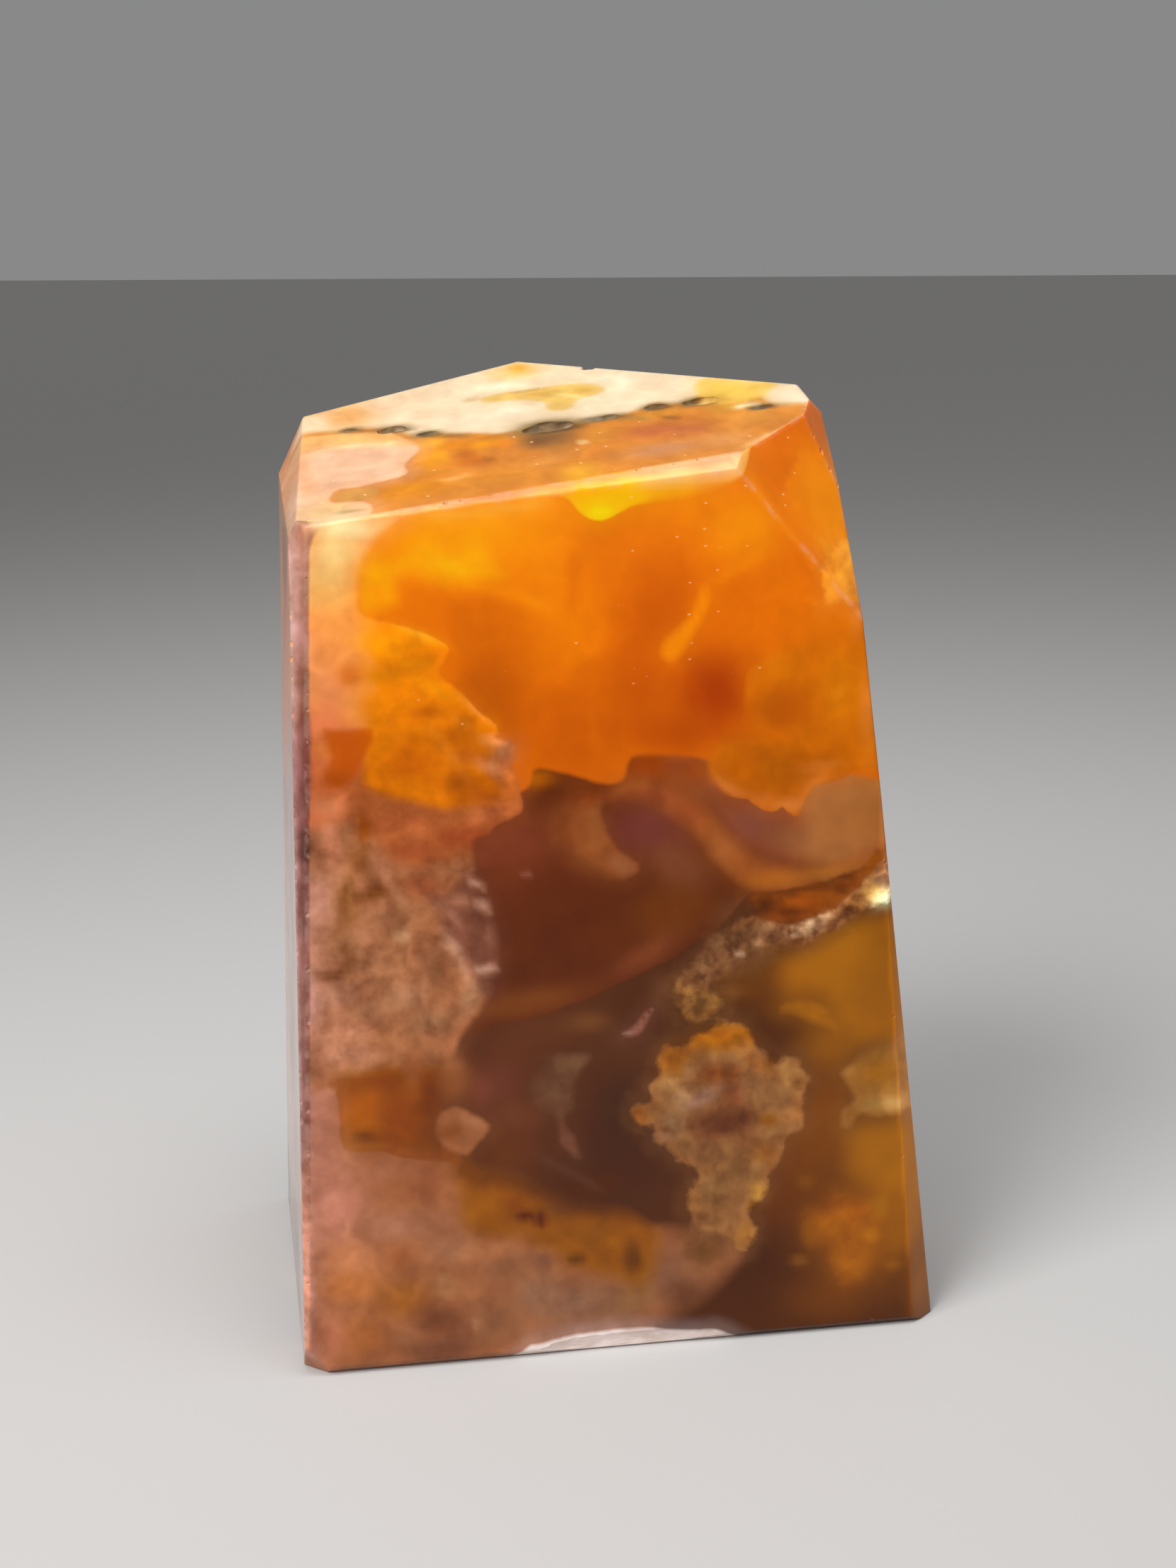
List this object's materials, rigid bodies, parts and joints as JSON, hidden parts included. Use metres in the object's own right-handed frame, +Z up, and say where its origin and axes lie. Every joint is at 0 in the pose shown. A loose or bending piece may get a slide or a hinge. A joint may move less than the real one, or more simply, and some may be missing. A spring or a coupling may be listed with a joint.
{
  "type": "polished agate freeform",
  "caption": "Free-standing polished block of flower agate with flat ground faces, a sloping top and a flat base to stand on.",
  "frame": {"origin": "middle of the base, on the surface that the stone stands on", "axes": "+Z up, +X to the right along the front of the base, +Y towards the back"},
  "size_m": [0.0546, 0.0392, 0.0782],
  "materials": {
    "polished_agate": "polished translucent stone, orange to brown with pale plumes"
  },
  "bodies": {
    "root": {"flower_agate": "polished_agate"}
  },
  "joints": []
}
